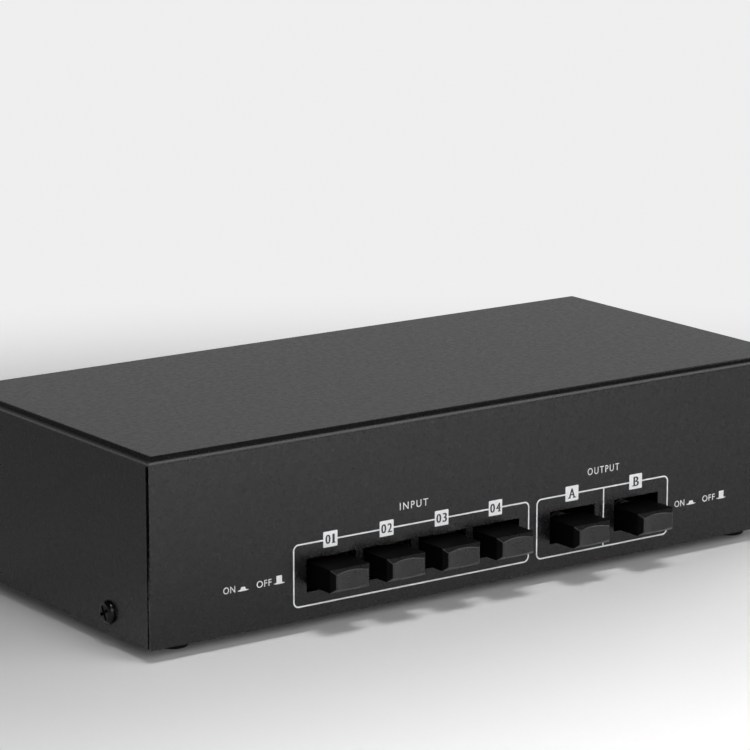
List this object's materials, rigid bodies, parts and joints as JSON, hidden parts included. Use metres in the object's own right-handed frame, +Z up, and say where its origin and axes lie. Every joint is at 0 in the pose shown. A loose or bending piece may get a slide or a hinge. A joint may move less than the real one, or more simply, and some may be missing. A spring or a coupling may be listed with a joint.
{
  "type": "speaker selector switch",
  "caption": "Low black steel box with a row of push buttons that switch amplifiers and loudspeakers, and terminal posts behind.",
  "frame": {"origin": "bottom centre of the bounding box, on the surface that the feet stand on", "axes": "+X along the front from left to right, +Y from the front to the rear, +Z up"},
  "size_m": [0.2434, 0.1374, 0.0595],
  "materials": {
    "lid_paint": "fine matt black powder coat",
    "pan_paint": "fine matt black powder coat",
    "screw_black": "black oxide",
    "screw_steel": "zinc plated",
    "foot_rubber": "matt black",
    "board_green": "solder mask",
    "standoff_brass": "turned",
    "switch_plastic": "moulded",
    "frame_steel": "stamped, zinc plated",
    "spring_steel": "drawn wire, black oxide",
    "plunger_nylon": "black nylon",
    "cap_plastic": "satin black",
    "post_metal": "nickel plated",
    "post_black": "moulded",
    "post_red": "moulded",
    "connector_plastic": "moulded"
  },
  "bodies": {
    "case": {"top_cover": "lid_paint", "base_pan": "pan_paint", "cover_screws": "screw_black", "rubber_feet": "foot_rubber", "foot_screws": "screw_steel", "main_board": "board_green", "board_standoffs": "standoff_brass", "board_screws": "screw_steel", "input_switch_housings": "switch_plastic", "output_switch_housings": "switch_plastic", "input_switch_frame": "frame_steel", "post_studs": "post_metal", "post_nuts": "post_metal", "post_insulators_black": "post_black", "post_insulators_red": "post_red", "terminal_board": "board_green", "board_connectors": "connector_plastic", "input_1_spring": "spring_steel", "input_2_spring": "spring_steel", "input_3_spring": "spring_steel", "input_4_spring": "spring_steel", "output_a_spring": "spring_steel", "output_b_spring": "spring_steel"},
    "input_1_button": {"input_1_cap": "cap_plastic", "input_1_plunger": "plunger_nylon"},
    "input_2_button": {"input_2_cap": "cap_plastic", "input_2_plunger": "plunger_nylon"},
    "input_3_button": {"input_3_cap": "cap_plastic", "input_3_plunger": "plunger_nylon"},
    "input_4_button": {"input_4_cap": "cap_plastic", "input_4_plunger": "plunger_nylon"},
    "output_a_button": {"output_a_cap": "cap_plastic", "output_a_plunger": "plunger_nylon"},
    "output_b_button": {"output_b_cap": "cap_plastic", "output_b_plunger": "plunger_nylon"},
    "interlock": {"interlock_bar": "frame_steel"},
    "input_1_left_black_clamp": {"input_1_left_black_knob": "post_black"},
    "input_1_left_red_clamp": {"input_1_left_red_knob": "post_red"},
    "input_1_right_black_clamp": {"input_1_right_black_knob": "post_black"},
    "input_1_right_red_clamp": {"input_1_right_red_knob": "post_red"},
    "input_2_left_black_clamp": {"input_2_left_black_knob": "post_black"},
    "input_2_left_red_clamp": {"input_2_left_red_knob": "post_red"},
    "input_2_right_black_clamp": {"input_2_right_black_knob": "post_black"},
    "input_2_right_red_clamp": {"input_2_right_red_knob": "post_red"},
    "input_3_left_black_clamp": {"input_3_left_black_knob": "post_black"},
    "input_3_left_red_clamp": {"input_3_left_red_knob": "post_red"},
    "input_3_right_black_clamp": {"input_3_right_black_knob": "post_black"},
    "input_3_right_red_clamp": {"input_3_right_red_knob": "post_red"},
    "input_4_left_black_clamp": {"input_4_left_black_knob": "post_black"},
    "input_4_left_red_clamp": {"input_4_left_red_knob": "post_red"},
    "input_4_right_black_clamp": {"input_4_right_black_knob": "post_black"},
    "input_4_right_red_clamp": {"input_4_right_red_knob": "post_red"},
    "output_a_left_black_clamp": {"output_a_left_black_knob": "post_black"},
    "output_a_left_red_clamp": {"output_a_left_red_knob": "post_red"},
    "output_a_right_black_clamp": {"output_a_right_black_knob": "post_black"},
    "output_a_right_red_clamp": {"output_a_right_red_knob": "post_red"},
    "output_b_left_black_clamp": {"output_b_left_black_knob": "post_black"},
    "output_b_left_red_clamp": {"output_b_left_red_knob": "post_red"},
    "output_b_right_black_clamp": {"output_b_right_black_knob": "post_black"},
    "output_b_right_red_clamp": {"output_b_right_red_knob": "post_red"}
  },
  "joints": [
    {"name": "input_1_press", "type": "slide", "parent": "case", "child": "input_1_button", "axis": [0, 1, 0], "range_m": [0, 0.006], "stiffness_N_per_m": 300, "springref_m": -0.004, "deforming": ["input_1_spring"]},
    {"name": "input_2_press", "type": "slide", "parent": "case", "child": "input_2_button", "axis": [0, 1, 0], "range_m": [0, 0.006], "stiffness_N_per_m": 300, "springref_m": -0.004, "deforming": ["input_2_spring"]},
    {"name": "input_3_press", "type": "slide", "parent": "case", "child": "input_3_button", "axis": [0, 1, 0], "range_m": [0, 0.006], "stiffness_N_per_m": 300, "springref_m": -0.004, "deforming": ["input_3_spring"]},
    {"name": "input_4_press", "type": "slide", "parent": "case", "child": "input_4_button", "axis": [0, 1, 0], "range_m": [0, 0.006], "stiffness_N_per_m": 300, "springref_m": -0.004, "deforming": ["input_4_spring"]},
    {"name": "output_a_press", "type": "slide", "parent": "case", "child": "output_a_button", "axis": [0, 1, 0], "range_m": [0, 0.006], "stiffness_N_per_m": 300, "springref_m": -0.004, "deforming": ["output_a_spring"]},
    {"name": "output_b_press", "type": "slide", "parent": "case", "child": "output_b_button", "axis": [0, 1, 0], "range_m": [0, 0.006], "stiffness_N_per_m": 300, "springref_m": -0.004, "deforming": ["output_b_spring"]},
    {"name": "interlock_slide", "type": "slide", "parent": "case", "child": "interlock", "axis": [1, 0, 0], "range_m": [0, 0.0015], "stiffness_N_per_m": 300, "springref_m": -0.002},
    {"name": "input_1_left_black_unscrew", "type": "slide", "parent": "case", "child": "input_1_left_black_clamp", "axis": [0, 1, 0], "range_m": [0, 0.004]},
    {"name": "input_1_left_red_unscrew", "type": "slide", "parent": "case", "child": "input_1_left_red_clamp", "axis": [0, 1, 0], "range_m": [0, 0.004]},
    {"name": "input_1_right_black_unscrew", "type": "slide", "parent": "case", "child": "input_1_right_black_clamp", "axis": [0, 1, 0], "range_m": [0, 0.004]},
    {"name": "input_1_right_red_unscrew", "type": "slide", "parent": "case", "child": "input_1_right_red_clamp", "axis": [0, 1, 0], "range_m": [0, 0.004]},
    {"name": "input_2_left_black_unscrew", "type": "slide", "parent": "case", "child": "input_2_left_black_clamp", "axis": [0, 1, 0], "range_m": [0, 0.004]},
    {"name": "input_2_left_red_unscrew", "type": "slide", "parent": "case", "child": "input_2_left_red_clamp", "axis": [0, 1, 0], "range_m": [0, 0.004]},
    {"name": "input_2_right_black_unscrew", "type": "slide", "parent": "case", "child": "input_2_right_black_clamp", "axis": [0, 1, 0], "range_m": [0, 0.004]},
    {"name": "input_2_right_red_unscrew", "type": "slide", "parent": "case", "child": "input_2_right_red_clamp", "axis": [0, 1, 0], "range_m": [0, 0.004]},
    {"name": "input_3_left_black_unscrew", "type": "slide", "parent": "case", "child": "input_3_left_black_clamp", "axis": [0, 1, 0], "range_m": [0, 0.004]},
    {"name": "input_3_left_red_unscrew", "type": "slide", "parent": "case", "child": "input_3_left_red_clamp", "axis": [0, 1, 0], "range_m": [0, 0.004]},
    {"name": "input_3_right_black_unscrew", "type": "slide", "parent": "case", "child": "input_3_right_black_clamp", "axis": [0, 1, 0], "range_m": [0, 0.004]},
    {"name": "input_3_right_red_unscrew", "type": "slide", "parent": "case", "child": "input_3_right_red_clamp", "axis": [0, 1, 0], "range_m": [0, 0.004]},
    {"name": "input_4_left_black_unscrew", "type": "slide", "parent": "case", "child": "input_4_left_black_clamp", "axis": [0, 1, 0], "range_m": [0, 0.004]},
    {"name": "input_4_left_red_unscrew", "type": "slide", "parent": "case", "child": "input_4_left_red_clamp", "axis": [0, 1, 0], "range_m": [0, 0.004]},
    {"name": "input_4_right_black_unscrew", "type": "slide", "parent": "case", "child": "input_4_right_black_clamp", "axis": [0, 1, 0], "range_m": [0, 0.004]},
    {"name": "input_4_right_red_unscrew", "type": "slide", "parent": "case", "child": "input_4_right_red_clamp", "axis": [0, 1, 0], "range_m": [0, 0.004]},
    {"name": "output_a_left_black_unscrew", "type": "slide", "parent": "case", "child": "output_a_left_black_clamp", "axis": [0, 1, 0], "range_m": [0, 0.004]},
    {"name": "output_a_left_red_unscrew", "type": "slide", "parent": "case", "child": "output_a_left_red_clamp", "axis": [0, 1, 0], "range_m": [0, 0.004]},
    {"name": "output_a_right_black_unscrew", "type": "slide", "parent": "case", "child": "output_a_right_black_clamp", "axis": [0, 1, 0], "range_m": [0, 0.004]},
    {"name": "output_a_right_red_unscrew", "type": "slide", "parent": "case", "child": "output_a_right_red_clamp", "axis": [0, 1, 0], "range_m": [0, 0.004]},
    {"name": "output_b_left_black_unscrew", "type": "slide", "parent": "case", "child": "output_b_left_black_clamp", "axis": [0, 1, 0], "range_m": [0, 0.004]},
    {"name": "output_b_left_red_unscrew", "type": "slide", "parent": "case", "child": "output_b_left_red_clamp", "axis": [0, 1, 0], "range_m": [0, 0.004]},
    {"name": "output_b_right_black_unscrew", "type": "slide", "parent": "case", "child": "output_b_right_black_clamp", "axis": [0, 1, 0], "range_m": [0, 0.004]},
    {"name": "output_b_right_red_unscrew", "type": "slide", "parent": "case", "child": "output_b_right_red_clamp", "axis": [0, 1, 0], "range_m": [0, 0.004]}
  ]
}
